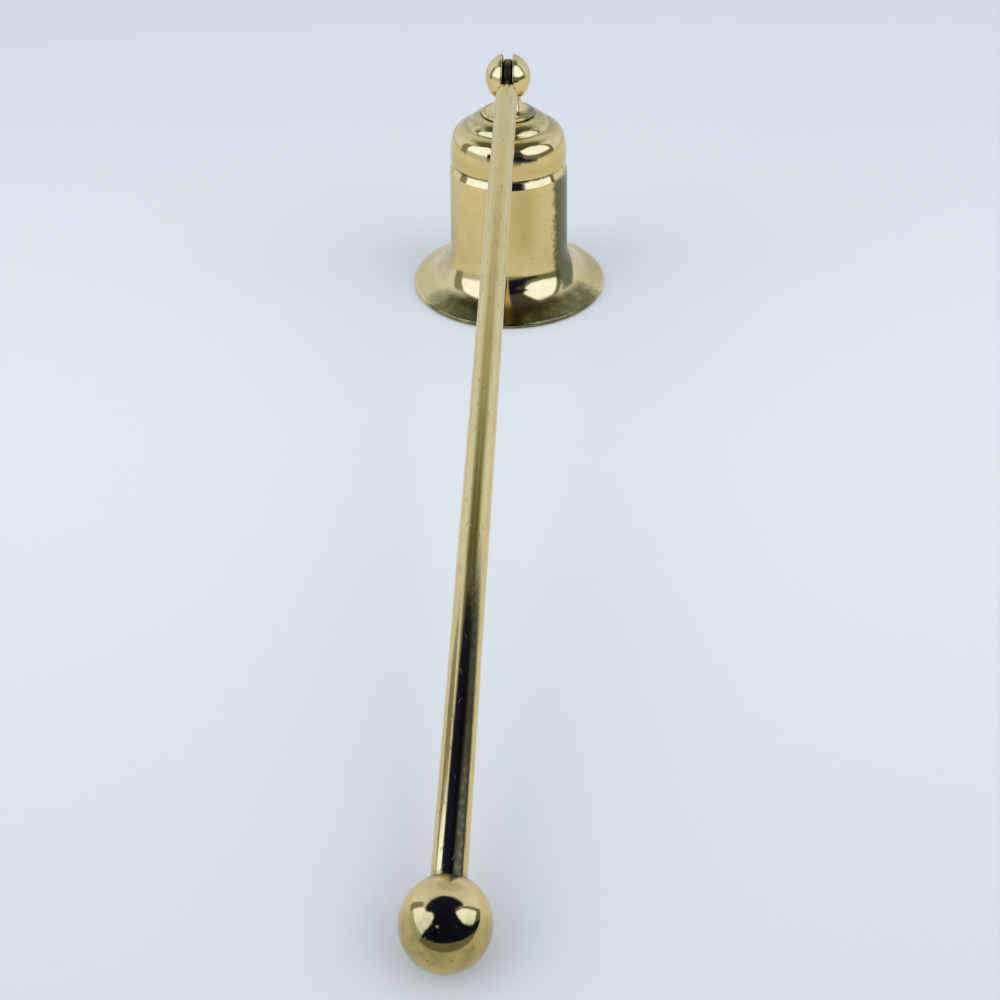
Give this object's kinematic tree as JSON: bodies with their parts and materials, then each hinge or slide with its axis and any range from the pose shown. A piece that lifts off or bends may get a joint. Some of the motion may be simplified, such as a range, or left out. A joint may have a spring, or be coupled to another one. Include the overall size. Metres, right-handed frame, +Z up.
{
  "type": "candle snuffer",
  "caption": "Polished brass candle snuffer: a flared bell hung from a slotted ball finial on a long round handle that ends in a ball knob.",
  "frame": {"origin": "centre of the bell's mouth, in the plane of its rim, which is the surface that the snuffer stands on", "axes": "+Z up along the bell's axis, out of the mouth is -Z; the handle lies towards -Y and swings in the Y-Z plane; +X is along the hinge pin"},
  "size_m": [0.0464, 0.2012, 0.054],
  "materials": {
    "polished_brass": "polished, with fine scratches, pits and light tarnish",
    "plain_brass": "turned and left unpolished"
  },
  "bodies": {
    "snuffer_head": {"bell": "polished_brass", "finial_yoke": "polished_brass", "yoke_washer": "plain_brass", "yoke_nut": "plain_brass", "hinge_pin": "polished_brass"},
    "handle": {"handle_rod": "polished_brass", "handle_knob": "polished_brass"}
  },
  "joints": [
    {"name": "handle_hinge", "type": "hinge", "parent": "snuffer_head", "child": "handle", "pos_m": [0, 0, 0.0493], "axis": [-1, 0, 0], "range_deg": [-18, 226]}
  ]
}
